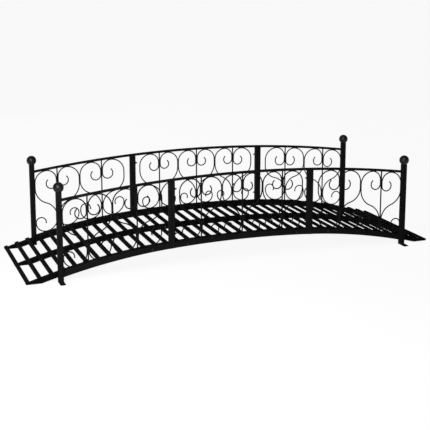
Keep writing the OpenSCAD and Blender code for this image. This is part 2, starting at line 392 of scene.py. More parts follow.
class NodeSheet:
    """A node tree with short calls to put nodes on it and link them."""

    def __init__(self, tree: Tree) -> None:
        """Keeps the tree."""
        self.tree = tree

    def feed(self, node: Node, inputs: Inputs) -> None:
        """Sets inputs of a node.

        Args:
            node: The node.
            inputs: Value or output socket for each input, by name or number.
        """
        for key, value in inputs.items():
            if isinstance(value, Socket):
                self.tree.links.new(value, node.inputs[key])
            else:
                node.inputs[key].default_value = value

    def put(self, kind: str, inputs: Inputs | None = None, **settings: object) -> Node:
        """Adds a node.

        Args:
            kind: The node's type name.
            inputs: Value or output socket for each input, by name or number.
            settings: Attributes of the node itself.

        Returns:
            The new node.
        """
        node = self.tree.nodes.new(kind)
        for key, value in settings.items():
            setattr(node, key, value)
        self.feed(node, inputs or {})
        return node

    def closed(self, results: Inputs) -> Tree:
        """The finished tree of a group, with its results put out."""
        self.put("NodeGroupOutput", results)
        return self.tree

    def scaled(self, value: object, band: Band) -> Socket:
        """A value carried smoothly from one range into another.

        Args:
            value: The value.
            band: Low and high end of its range, and what these two become.

        Returns:
            The socket of the new value.
        """
        ends = dict(zip(("From Min", "From Max", "To Min", "To Max"), band))
        node = self.put("ShaderNodeMapRange", {"Value": value, **ends}, interpolation_type="SMOOTHSTEP")
        return node.outputs["Result"]

    def product(self, a: object, b: object) -> Socket:
        """The product of two values."""
        return self.put("ShaderNodeMath", {0: a, 1: b}, operation="MULTIPLY").outputs[0]

    def total(self, a: object, b: object, clamp: bool = False) -> Socket:
        """The sum of two values, kept from 0 to 1 where it is clamped."""
        return self.put("ShaderNodeMath", {0: a, 1: b}, operation="ADD", use_clamp=clamp).outputs[0]

    def blended(self, share: object, a: object, b: object) -> Socket:
        """A colour between two colours."""
        return self.put("ShaderNodeMix", {0: share, 6: a, 7: b}, data_type="RGBA").outputs[2]

    def mixed(self, share: object, a: object, b: object) -> Socket:
        """A shader between two shaders."""
        return self.put("ShaderNodeMixShader", {0: share, 1: a, 2: b}).outputs[0]

    def noise(self, where: object, scale: object, detail: float, rough: float = 0.5) -> Socket:
        """Cloudy noise, from 0 to 1 about 0.5."""
        inputs = {"Vector": where, "Scale": scale, "Detail": detail, "Roughness": rough}
        return self.put("ShaderNodeTexNoise", inputs, noise_dimensions="3D").outputs[0]


def new_material(name: str) -> tuple[bpy.types.Material, NodeSheet, Node]:
    """A new material with nodes.

    Args:
        name: Name of the material.

    Returns:
        The material, a sheet on its nodes, and its shader.
    """
    made = bpy.data.materials.new(name)
    made.use_nodes = True
    return made, NodeSheet(made.node_tree), made.node_tree.nodes["Principled BSDF"]


@dataclass
class CoatEffects:
    """The effects that the coats share, each a node group that is built once.

    A noise is its detail and roughness, after its scale where the group isn't given one.
    A band is what NodeSheet.scaled takes.
    """

    swell_scale: float = 0.16
    swell_height: float = 1.6
    fine_detail: float = 2.0
    swell_detail: float = 1.0
    cloud_noise: Pair = (5.0, 0.6)
    cloud_band: Band = (0.3, 0.7, 0.0, 1.0)
    edge_samples: int = 6
    edge_band: Band = (0.99, 0.86, 0.0, 1.0)
    edge_noise: Triple = (55.0, 4.0, 0.65)
    edge_patches: Band = (0.38, 0.62, 0.15, 1.0)
    dust_facing: Band = (0.45, 0.98, 0.0, 1.0)
    dust_noise: Pair = (6.0, 0.62)
    dust_patches: Band = (0.4, 0.72, 0.1, 1.0)

    def __post_init__(self) -> None:
        """Builds the groups."""
        self.peel = self._peel()
        self.mottle = self._mottle()
        self.edge = self._thin_edge_highlight()
        self.dust = self._dust()

    @staticmethod
    def _group(
        name: str, inputs: dict[str, object], outputs: dict[str, str]
    ) -> tuple[NodeSheet, Sockets]:
        """An empty group with its sockets: a vector where an input has no default, else a colour or a number.

        Args:
            name: Name of the group.
            inputs: Default of each input, by name.
            outputs: Kind of each output, by name.

        Returns:
            A sheet to build on, and the sockets of what the group is given.
        """
        tree = bpy.data.node_groups.new(name, "ShaderNodeTree")
        for label, default in inputs.items():
            kind = "Vector" if default is None else "Color" if isinstance(default, tuple) else "Float"
            socket = tree.interface.new_socket(label, in_out="INPUT", socket_type=f"NodeSocket{kind}")
            if default is not None:
                socket.default_value = default
        for label, kind in outputs.items():
            tree.interface.new_socket(label, in_out="OUTPUT", socket_type=f"NodeSocket{kind}")
        sheet = NodeSheet(tree)
        return sheet, sheet.put("NodeGroupInput").outputs

    def _peel(self) -> Tree:
        """Orange peel of a powder coat: fine rounded bumps with a slow swell under them.

        Returns:
            A group that puts out the height of the bumps.
        """
        sheet, given = self._group("orange_peel", {"Vector": None, "Scale": 700.0}, {"Height": "Float"})
        fine = sheet.noise(given["Vector"], given["Scale"], self.fine_detail)
        slow_scale = sheet.product(given["Scale"], self.swell_scale)
        slow = sheet.noise(given["Vector"], slow_scale, self.swell_detail)
        height = sheet.total(fine, sheet.product(slow, self.swell_height))
        return sheet.closed({"Height": height})

    def _mottle(self) -> Tree:
        """Slow, cloudy change of tone and sheen over the coat.

        Returns:
            A group that puts out the tone, and the cloud for the sheen.
        """
        sheet, given = self._group(
            "coat_mottle",
            {"Vector": None, "Scale": 14.0, "Deep": grey(0.01), "Pale": grey(0.02)},
            {"Color": "Color", "Cloud": "Float"},
        )
        noise = sheet.noise(given["Vector"], given["Scale"], *self.cloud_noise)
        cloud = sheet.scaled(noise, self.cloud_band)
        tone = sheet.blended(cloud, given["Deep"], given["Pale"])
        return sheet.closed({"Color": tone, "Cloud": cloud})

    def _thin_edge_highlight(self) -> Tree:
        """Edges and corners, where the coat is drawn thin and a paler painted edge highlight is laid: the
        rounded normal against the true one.

        Returns:
            A group that puts out a mask, 1 where the coat is thinnest and the painted edge highlight
            strongest.
        """
        sheet, given = self._group("thin_edge_painted_highlight", {"Vector": None, "Radius": 0.0015}, {"Mask": "Float"})
        rounded = sheet.put("ShaderNodeBevel", {"Radius": given["Radius"]}, samples=self.edge_samples)
        flat = sheet.put("ShaderNodeNewGeometry")
        normals = {0: rounded.outputs[0], 1: flat.outputs["Normal"]}
        agree = sheet.put("ShaderNodeVectorMath", normals, operation="DOT_PRODUCT")
        edge = sheet.scaled(agree.outputs["Value"], self.edge_band)
        patches = sheet.scaled(sheet.noise(given["Vector"], *self.edge_noise), self.edge_patches)
        return sheet.closed({"Mask": sheet.product(edge, patches)})

    def _dust(self) -> Tree:
        """Fine dust on what faces up, in soft patches.

        Returns:
            A group that puts out a mask, 1 where the dust is thickest.
        """
        sheet, given = self._group("settled_dust", {"Vector": None, "Scale": 30.0}, {"Mask": "Float"})
        facing = sheet.put("ShaderNodeSeparateXYZ", {0: sheet.put("ShaderNodeNewGeometry").outputs["Normal"]})
        upward = sheet.scaled(facing.outputs["Z"], self.dust_facing)
        noise = sheet.noise(given["Vector"], given["Scale"], *self.dust_noise)
        patches = sheet.scaled(noise, self.dust_patches)
        return sheet.closed({"Mask": sheet.product(upward, patches)})


@dataclass(frozen=True)
class CoatFinish:
    """One black coat of the bridge.

    Attributes:
        name: Name of the material.
        deep: Colour of the coat in its darker clouds.
        pale: Colour in its paler clouds.
        edge: Colour along edges, where the coat is thin, paler as a painted edge highlight.
        dust: Colour of the dust on it.
        dust_share: Most that the dust hides of the coat.
        dust_dulls: Roughness that full dust adds.
        edge_highlight_share: Most that the thin coat and painted edge highlight hide of it.
        rough: Roughness in the clouds' two ends.
        gloss: Strength of the mirror reflection, as the shader's specular level.
        peel_scale: Bumps to the metre, roughly.
        peel_depth: Height of the bumps, in metres.
    """

    name: str
    deep: Triple = (0.005, 0.005, 0.0052)
    pale: Triple = (0.0075, 0.0075, 0.0078)
    edge: Triple = (0.014, 0.014, 0.0145)
    dust: Triple = (0.022, 0.021, 0.02)
    dust_share: float = 0.1
    dust_dulls: float = 1.2
    edge_highlight_share: float = 0.5
    rough: Pair = (0.46, 0.6)
    gloss: float = 0.012
    peel_scale: float = 700.0
    peel_depth: float = 0.00005

    def material(self, effects: CoatEffects) -> bpy.types.Material:
        """Makes the material from the shared effects.

        Args:
            effects: The node groups.

        Returns:
            The material.
        """
        made, sheet, shader = new_material(self.name)
        made.diffuse_color = (*self.pale, 1.0)
        where = sheet.put("ShaderNodeTexCoord").outputs["Object"]

        def effect(group: Tree, **values: object) -> Sockets:
            """Places a group that reads the object's own coordinates, and gives its outputs."""
            return sheet.put("ShaderNodeGroup", {"Vector": where, **values}, node_tree=group).outputs

        mottle = effect(effects.mottle, Deep=(*self.deep, 1.0), Pale=(*self.pale, 1.0))
        # Edges turn paler: the coat is thin there, and the paler colour is also a painted edge highlight.
        edge = sheet.product(effect(effects.edge)["Mask"], self.edge_highlight_share)
        dust = sheet.product(effect(effects.dust)["Mask"], self.dust_share)
        thin_coat_and_painted_highlight = sheet.blended(edge, mottle["Color"], (*self.edge, 1.0))
        sheen = sheet.scaled(mottle["Cloud"], (0.0, 1.0, *self.rough))
        height = effect(effects.peel, Scale=self.peel_scale)["Height"]
        bump = sheet.put("ShaderNodeBump", {"Strength": 1.0, "Distance": self.peel_depth, "Height": height})
        surface = {
            "Base Color": sheet.blended(dust, thin_coat_and_painted_highlight, (*self.dust, 1.0)),
            "Roughness": sheet.total(sheen, sheet.product(dust, self.dust_dulls), True),
            "Normal": bump.outputs["Normal"],
            "Specular IOR Level": self.gloss,
        }
        sheet.feed(shader, surface)
        return made


@dataclass
class Paintwork:
    """All the coats, and which solid takes which."""

    effects: CoatEffects = field(default_factory=CoatEffects)
    frame: CoatFinish = CoatFinish("frame_coat")
    scroll: CoatFinish = CoatFinish("scroll_coat", dust_share=0.05)
    finial: CoatFinish = CoatFinish(
        "finial_coat",
        deep=(0.004, 0.004, 0.0042),
        pale=(0.008, 0.008, 0.0084),
        rough=(0.36, 0.44),
        gloss=0.2,
    )
    # The deck's coat is the frame's black coat made much darker: painted shade on the slats, stringers and
    # slat welds.
    deck: CoatFinish = CoatFinish(
        "deck_coat",
        deep=(0.002, 0.002, 0.0021),
        pale=(0.003, 0.003, 0.0031),
        dust_share=0.16,
        rough=(0.55, 0.7),
    )
    foot: CoatFinish = CoatFinish("foot_coat", dust_share=0.12)
    fixing: CoatFinish = CoatFinish(
        "fixing_coat",
        deep=(0.004, 0.004, 0.0043),
        pale=(0.008, 0.008, 0.0085),
        rough=(0.34, 0.46),
        gloss=0.2,
    )

    def __post_init__(self) -> None:
        """Makes the materials."""
        coats = (self.frame, self.scroll, self.finial, self.deck, self.foot, self.fixing)
        self.made = {c.name: c.material(self.effects) for c in coats}

    def coat(self, piece: Piece, finish: CoatFinish) -> None:
        """Gives a piece one coat, in place of what it had."""
        piece.data.materials.clear()
        piece.data.materials.append(self.made[finish.name])

    def dress(self, piece: Piece, finish: CoatFinish, slot: str) -> Piece:
        """Coats a new piece, and sets it on the bridge's one body.

        Args:
            piece: The piece.
            finish: Its coat.
            slot: Not used.

        Returns:
            The same piece.
        """
        self.coat(piece, finish)
        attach(piece, "root")
        return piece

    def coat_solids(self) -> None:
        """Coats every solid by the first word of its name."""
        kinds = {
            "finial": self.finial,
            # Slats and stringers take the deck coat, whose darker tone is painted shade.
            "slats": self.deck,
            "stringers": self.deck,
            "scrolls": self.scroll,
            "foot": self.foot,
            "splices": self.foot,
        }
        for name, solid in frame["nodes"].items():
            finish = kinds.get(name.split("_")[0], self.frame)
            self.coat(solid, finish)
            LOG.info("solid %s takes %s", name, finish.name)


@dataclass(frozen=True)
class LowerLobe:
    """How the lower lobe of a scroll is bent.

    Attributes:
        run_share: Straight run before its curl, as a share of the scroll's width.
        curl_share: Radius of its curl, as such a share.
        curl_end: Angle at which the curl ends, in degrees.
        outer_share: Radius of its outer half, as such a share, or none where it reaches the full width.
    """

    run_share: float
    curl_share: float
    curl_end: float
    outer_share: float | None = None


@dataclass
class ScrollPanel:
    """The scrollwork of one bay on one side: hearts of two S-scrolls on a rod, bent from round bar.

    Shares are of a scroll's width, or of the bar's thickness for the beads. Angles are in degrees.
    """

    sizes: BridgeSizes
    paint: Paintwork
    side: Side
    bay: Bay
    rod: float = 0.006
    scroll: float = 0.005
    round_gain: float = 0.001
    bite: float = 0.0006
    end_half: float = 0.12
    mid_half: float = 0.1075
    edge_extra: float = 0.0055
    end_hearts: int = 2
    mid_hearts: int = 3
    top_share: float = 0.41
    top_curl_share: float = 0.225
    top_run_share: float = 0.176
    low_share: float = 0.55
    shoulder_share: float = 0.263
    point_share: float = 0.528
    spare_share: float = 0.03
    top_curl_end: float = -232.0
    post_lobe: LowerLobe = LowerLobe(0.02, 0.22, -13.0)
    downhill_lobe: LowerLobe = LowerLobe(0.11, 0.22, -13.0)
    uphill_lobe: LowerLobe = LowerLobe(0.01, 0.2, -30.0, 0.53)
    mid_lobe: LowerLobe = LowerLobe(0.045, 0.182, -30.0, 0.335)
    upright_bead: Bead = Bead(0.011, 0.0031)
    level_bead: Bead = Bead(0.0085, 0.0031)
    bead_share: float = 0.3
    upper_bead_drop: float = 0.004
    lower_bead_rise: float = 0.002
    touch_deg: Pair = (45.0, 135.0)
    touch_steps: int = 19
    bar_sides: int = 14
    step_deg: float = 6.0
    least_steps: int = 3
    same_point: float = 1e-6

    @property
    def half(self) -> float:
        """Half the width of a heart in this bay."""
        return self.mid_half if self.bay is Bay.MID else self.end_half

    @property
    def y(self) -> float:
        """The panel's middle plane."""
        return self.side.value * self.sizes.panel_y

    @property
    def node(self) -> str:
        """Name of the solid that the panel stands for."""
        return f"scrolls_{self.side.name.lower()}_{self.bay.name.lower()}"

    def rods(self) -> Array:
        """Places of the hearts' rods along the bridge, evenly spaced.

        Returns:
            The places, from left to right in the middle bay, and from the end post inwards in an end bay.
        """
        pitch = 2 * self.half - self.bite
        if self.bay is Bay.MID:
            return (np.arange(self.mid_hearts) - (self.mid_hearts - 1) / 2) * pitch
        return self.bay.value * (self.sizes.post_face - (np.arange(self.end_hearts) + 0.5) * pitch)

    def stands_free(self, heart: int, hand: Hand) -> bool:
        """Whether a scroll stands beside an upright, where it is wider and not welded on its outer side.

        Args:
            heart: Number of the heart in its panel.
            hand: Which of its scrolls.

        Returns:
            True where it does.
        """
        if self.bay is Bay.MID:
            return (heart, hand) in ((0, Hand.LEFT), (self.mid_hearts - 1, Hand.RIGHT))
        return (heart, hand.value) == (self.end_hearts - 1, self.bay.value)

    def lower_lobe(self, heart: int, hand: Hand) -> LowerLobe:
        """How a scroll's lower lobe is bent: fuller downhill, drawn in uphill and in the middle bay.

        Args:
            heart: Number of the heart in its panel.
            hand: Which of its scrolls.

        Returns:
            The lobe.
        """
        if self.bay is Bay.MID:
            return self.mid_lobe
        if hand.value == self.bay.value:
            return self.uphill_lobe
        return self.downhill_lobe if heart else self.post_lobe

    def _bend(self, x: float, z: float, r: float, start: float, end: float) -> tuple[Array, Array]:
        """An arc of a scroll: (x + r cos a, z + r sin a), from one angle to another.

        Args:
            x: Centre of the arc, from the rod.
            z: Height of its centre.
            r: Its radius.
            start: Angle where it starts, in degrees.
            end: Angle where it ends.

        Returns:
            Points and headings on it.
        """
        steps = max(self.least_steps, int(abs(end - start) / self.step_deg) + 1)
        a = np.radians(np.linspace(start, end, steps))
        points = np.stack([x + r * np.cos(a), z + r * np.sin(a)], -1)
        heading = math.copysign(1.0, end - start) * np.stack([-np.sin(a), np.cos(a)], -1)
        return points, heading

    def _touch(
        self, x: float, hand: Hand, rail: Rail, near: float, inner: float, outer: float
    ) -> tuple[float, Array]:
        """Height of a lobe's middle line at its top or foot, and the place where its bar touches the rail.

        Over a quarter turn, the bar's outer edge is set against the rail, and the closest place holds.

        Args:
            x: Place of the rod.
            hand: Which of the heart's scrolls.
            rail: The rail that the lobe touches.
            near: Middle line beside the rod.
            inner: Radius of the lobe's half that is next to the rod.
            outer: Radius of its other half.

        Returns:
            The height, and the touching place (x, z) beside a rod at x = 0.
        """
        a = np.radians(np.linspace(*self.touch_deg, self.touch_steps))
        r = np.where(np.cos(a) > 0.0, inner, outer)
        edge = r + self.scroll / 2
        across = near - inner + edge * np.cos(a)
        rise = rail.value * (edge * np.sin(a) - r)
        face = self.sizes.rail_under if rail is Rail.TOP else self.sizes.rail_over
        gap = face(x + hand.value * across) - rise
        k = int(np.argmin(rail.value * gap))
        height = float(gap[k]) + rail.value * self.bite
        return height, np.array([across[k], height + rise[k]])

    def s_scroll(self, heart: int, x: float, hand: Hand) -> tuple[Array, Array, Array, Array]:
        """Middle line of one S-scroll.

        Upper curl, up beside the rod, over the upper lobe in two radii, down its outer side, across to the
        heart's point on the rod in two opposite arcs, under the lower lobe in two radii, into the lower curl.

        Args:
            heart: Number of the heart in its panel.
            x: Place of the rod.
            hand: Which of the heart's scrolls.

        Returns:
            Points (x, y, z), headings (x, z), the places (x, z) of its upright welds, and of its level ones.
        """
        free, lobe = self.stands_free(heart, hand), self.lower_lobe(heart, hand)
        wide = self.half + (self.edge_extra if free else 0.0)
        near, out = self.bite - (self.rod + self.scroll) / 2, self.scroll / 2 - wide
        point_z = float(self.sizes.rail_over(x)) + self.point_share * self.half
        rf = self.low_share * wide
        rg = lobe.outer_share * wide if lobe.outer_share else near - out - rf
        room = point_z - self._touch(x, hand, Rail.BOTTOM, near, rf, rg)[0]
        rf = min(rf, room - self.spare_share * wide)
        rg = rg if lobe.outer_share else near - out - rf
        ra = self.top_share * wide
        rb, low_out = near - out - ra, near - rf - rg
        rc, rh = self.top_curl_share * wide, lobe.curl_share * wide
        top, top_touch = self._touch(x, hand, Rail.TOP, near, ra, rb)
        bottom, bottom_touch = self._touch(x, hand, Rail.BOTTOM, near, rf, rg)
        curl_z = top - ra - self.top_run_share * wide
        bend_z = top - rb - self.shoulder_share * wide
        low_z = bottom + rg + lobe.run_share * wide
        turn = math.degrees(2 * math.atan((near - out) / (bend_z - point_z)))
        r = (bend_z - point_z) / 2 / math.sin(math.radians(turn))
        arcs = [
            self._bend(near - rc, curl_z, rc, self.top_curl_end, 0.0),
            self._bend(near - ra, top - ra, ra, 0.0, 90.0),
            self._bend(near - ra, top - rb, rb, 90.0, 180.0),
            self._bend(out + r, bend_z, r, 180.0, 180.0 + turn),
            self._bend(near - r, point_z, r, turn, 0.0),
            self._bend(near - rf, bottom + rf, rf, 0.0, -90.0),
            self._bend(near - rf, bottom + rg, rg, 270.0, 180.0),
            self._bend(low_out + rh, low_z, rh, 180.0, lobe.curl_end),
        ]
        line, heading = (np.concatenate(parts) for parts in zip(*arcs))
        fresh = np.concatenate([[True], np.linalg.norm(np.diff(line, axis=0), axis=1) > self.same_point])
        beside_rod = near + self.scroll / 2
        upright = [[beside_rod, (top - ra + curl_z) / 2], [beside_rod, (bottom + rf + point_z) / 2]]
        if not free:
            upright.append([-wide, top - rb - self.upper_bead_drop])
        if not free and not lobe.outer_share:
            upright.append([-wide, bottom + rg + self.lower_bead_rise])
        over, at_rod = np.array([hand.value, 1.0]), np.array([x, 0.0])
        line_x, line_z = (line[fresh] * over + at_rod).T
        level = np.array([top_touch, bottom_touch]) * over + at_rod
        path = points_at(line_x, self.y, line_z)
        return path, heading[fresh] * over, np.array(upright) * over + at_rod, level

    def profile(self, thickness: float) -> Array:
        """Profile of a round bar: a circle, a little wider than the square bar that it stands for."""
        return (thickness + self.round_gain) / 2 * circle(self.bar_sides)

    def build(self) -> Piece:
        """Builds the panel's bars and weld beads as one piece that stands for the solid.

        Returns:
            The new piece.
        """
        parts, upright, level = [], [], []
        rising = np.array([[0.0, 1.0], [0.0, 1.0]])
        for heart, x in enumerate(self.rods().tolist()):
            ends = np.array([self.sizes.rail_over(x), self.sizes.rail_under(x)])
            rod = points_at(x, self.y, ends)
            parts.append(carried(self.profile(self.rod), rod, rising))
            level.append(rod[:, [0, 2]])
            for hand in Hand:
                path, heading, beside, touching = self.s_scroll(heart, x, hand)
                parts.append(carried(self.profile(self.scroll), path, heading))
                upright.append(beside)
                level.append(touching)
        faces = self.y + BOTH_WAYS * self.bead_share * self.scroll
        parts.append(self.upright_bead.set_at(np.concatenate(upright), faces, RUN_UP))
        parts.append(self.level_bead.set_at(np.concatenate(level), faces, RUN_ALONG))
        piece = Surface.joined(parts).build(f"{self.node}_bars")
        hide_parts(self.node)
        return self.paint.dress(piece, self.paint.scroll, "scroll_coat")


@dataclass
class DeckSlats:
    """The deck's slats: flat tubes across the walk, let a little into the stringers."""

    sizes: BridgeSizes
    paint: Paintwork
    height: float = 0.0096
    proud: float = 0.0064
    rounding: float = 0.0014
    corner_steps: int = 4

    def slat(self) -> Surface:
        """One slat about X = 0, its top proud of Z = 0, where the stringers end.

        Its profile is a rectangle whose corners are quarter circles, the same at either end of the slat.

        Returns:
            The slat's surface.
        """
        middle_z = self.proud - self.height / 2
        wide, high = self.sizes.slat_width / 2 - self.rounding, self.height / 2 - self.rounding
        a = np.radians(np.linspace(0.0, 90.0, self.corner_steps + 1) + 90.0 * np.arange(4)[:, None])
        middle = np.array([[wide, high], [-wide, high], [-wide, -high], [wide, -high]])
        ring = middle[:, None, :] + self.rounding * np.stack([np.cos(a), np.sin(a)], -1)
        x, z = ring.reshape(-1, 2).T
        ends = points_at(0.0, self.sizes.half_walk * np.array([1.0, -1.0]), middle_z)
        return Surface.capped(points_at(x, ends[:, 1:2], z + middle_z), ends)

    def build(self) -> list[Piece]:
        """Builds the slats of each section as one piece that stands for their solid.

        Returns:
            The new pieces.
        """
        s = self.sizes
        pieces = []
        for bay, x in zip(Bay, np.split(s.slat_places(), len(Bay))):
            node = f"slats_{bay.name.lower()}"
            feet = points_at(x, 0.0, s.deck_z(x, s.stringer))
            piece = self.slat().placed(feet, s.deck_axes(x)).build(f"{node}_tubes")
            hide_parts(node)
            pieces.append(self.paint.dress(piece, self.paint.deck, "deck_coat"))
        return pieces


class HeadShape(Enum):
    """The two kinds of bolt head on the bridge."""

    HEX = "hex"
    DOME = "dome"


@dataclass
class Fixings:
    """The bolts that hold the three sections together, with washers and nuts.

    Pairs of a rim, top or crown are radius and height, as shares of the piece's own. Rolls are in radians.
    """

    sizes: BridgeSizes
    paint: Paintwork
    bolt: float = 0.006
    head_flats: float = 0.010
    head_height: float = 0.004
    head_shoulder: float = 0.8
    head_top: Pair = (0.93, 1.0)
    head_crown: Pair = (0.4, 1.02)
    head_roll: float = 0.35
    hex_sides: int = 6
    dome_width: float = 0.0125
    dome_height: float = 0.0022
    dome_turn: float = 0.47
    dome_rings: int = 7
    nut_height: float = 0.005
    nut_face: float = 0.95
    nut_chamfer: float = 0.14
    nut_roll: float = 0.1
    washer: float = 0.0125
    washer_thickness: float = 0.0012
    washer_rim: tuple[Pair, ...] = ((0.985, 0.0), (1.0, 0.25), (1.0, 0.75), (0.97, 1.0))
    tail: float = 0.006
    tail_tip: float = 0.4
    pitch: float = 0.001
    thread_root: float = 0.9
    thread_sides: int = 14
    round_sides: int = 24
    crease_deg: float = 30.0
    rail_bolts: Pair = (0.290, 0.467)
    upright_bolts: Pair = (0.180, 0.400)
    centre_bolts: Pair = (0.296, 0.436)

    @property
    def flat(self) -> float:
        """Half the width of a head or nut across its flats."""
        return self.head_flats / 2

    @property
    def corner(self) -> float:
        """Distance of its corners from its middle."""
        return self.head_flats / math.sqrt(3)

    def washer_ring(self) -> Surface:
        """A washer with a rounded rim, on Z = 0."""
        outline = np.array(self.washer_rim) * [self.washer / 2, self.washer_thickness]
        return turned(outline, self.round_sides)

    def hex_head(self) -> Surface:
        """Washer and six-sided head, its corners cut away to a round top, standing on Z = 0.

        Returns:
            The head's surface.
        """
        sides = np.array([[self.corner, 0.0], [self.corner, self.head_shoulder * self.head_height]])
        top = np.array([self.head_top, self.head_crown]) * [self.flat, self.head_height]
        outline = np.concatenate([sides, top]) + [0.0, self.washer_thickness]
        return Surface.joined([self.washer_ring(), turned(outline, self.hex_sides)])

    def dome_head(self) -> Surface:
        """Low domed head without a washer, standing on Z = 0: a quarter of an ellipse turned about Z.

        Returns:
            The head's surface.
        """
        a = np.linspace(0.0, math.pi * self.dome_turn, self.dome_rings)
        outline = np.stack([self.dome_width / 2 * np.cos(a), self.dome_height * np.sin(a)], -1)
        return turned(outline, self.round_sides)

    def nut(self) -> Surface:
        """Washer, six-sided nut and the bolt's threaded tail, standing on Z = 0.

        The tail's radius goes up and down once for each turn of the thread, and ends in a chamfer.

        Returns:
            The nut's surface.
        """
        foot, top = self.washer_thickness, self.washer_thickness + self.nut_height
        face, cut = self.nut_face * self.flat, self.nut_chamfer * self.nut_height
        outline = np.array([[face, foot], [self.corner, foot + cut], [self.corner, top - cut], [face, top]])
        rise = np.arange(0.0, self.tail, self.pitch / 2)
        ridge = self.bolt / 2 * np.where(np.arange(len(rise)) % 2, self.thread_root, 1.0)
        tip = np.array([[self.tail_tip * self.bolt, top + self.tail]])
        thread = np.concatenate([np.stack([ridge, top + rise], -1), tip])
        parts = [turned(outline, self.hex_sides), turned(thread, self.thread_sides)]
        return Surface.joined([self.washer_ring(), *parts])

    @staticmethod
    def facing(axis: Array, roll: float) -> Array:
        """Frames whose Z is an axis, turned about it by a roll.

        Args:
            axis: A level unit direction for each frame, or one for all.
            roll: Turn about the axis, in radians.

        Returns:
            3 x 3 matrices with the local axes as columns.
        """
        x = math.cos(roll) * np.cross(UP, axis) + math.sin(roll) * UP
        return np.stack([x, np.cross(axis, x), axis], -1)

    def build(self) -> list[Piece]:
        """Builds the heads and nuts of each group of bolts.

        Returns:
            The new pieces.
        """
        s = self.sizes
        pieces = []
        for side in Side:
            y, name = side.value, side.name.lower()
            x = np.outer(BOTH_WAYS, self.rail_bolts).ravel()
            z = s.deck_z(x, s.bottom_rail / 2)
            outer = points_at(x, y * (s.half_walk + s.bottom_rail), z)
            inner = points_at(x, y * (s.half_walk - s.stringer - s.splice_thickness), z)
            pieces.append(self._set(f"rail_bolts_{name}", HeadShape.HEX, outer, y * ACROSS, inner))
            ends, heights = (g.ravel() for g in np.meshgrid(BOTH_WAYS, self.upright_bolts, indexing="ij"))
            at = points_at(0.0, y * s.panel_y, heights)
            along = ends[:, None] * ALONG
            heads, nuts = at + along * s.end_face, at + along * s.mid_face
            pieces.append(self._set(f"upright_bolts_{name}", HeadShape.DOME, heads, along, nuts))
        x = np.outer(BOTH_WAYS, self.centre_bolts).ravel()
        z = s.deck_z(x, s.stringer / 2)
        near = points_at(x, -s.centre_stringer / 2, z)
        far = points_at(x, s.centre_stringer / 2 + s.splice_thickness, z)
        pieces.append(self._set("centre_bolts", HeadShape.HEX, near, -ACROSS, far))
        return pieces

    def _set(self, name: str, shape: HeadShape, heads: Array, axis: Array, nuts: Array) -> Piece:
        """One group of bolts as one piece.

        Args:
            name: Name of the piece.
            shape: Kind of head.
            heads: Where the heads lie.
            axis: Way that each head faces, or one for all; its nut faces the other way.
            nuts: Where the nuts' washers lie.

        Returns:
            The new piece.
        """
        head = self.hex_head() if shape is HeadShape.HEX else self.dome_head()
        parts = [
            head.placed(heads, self.facing(axis, self.head_roll)),
            self.nut().placed(nuts, self.facing(-axis, self.nut_roll)),
        ]
        piece = Surface.joined(parts).build(name, self.crease_deg)
        return self.paint.dress(piece, self.paint.fixing, "frame_coat")


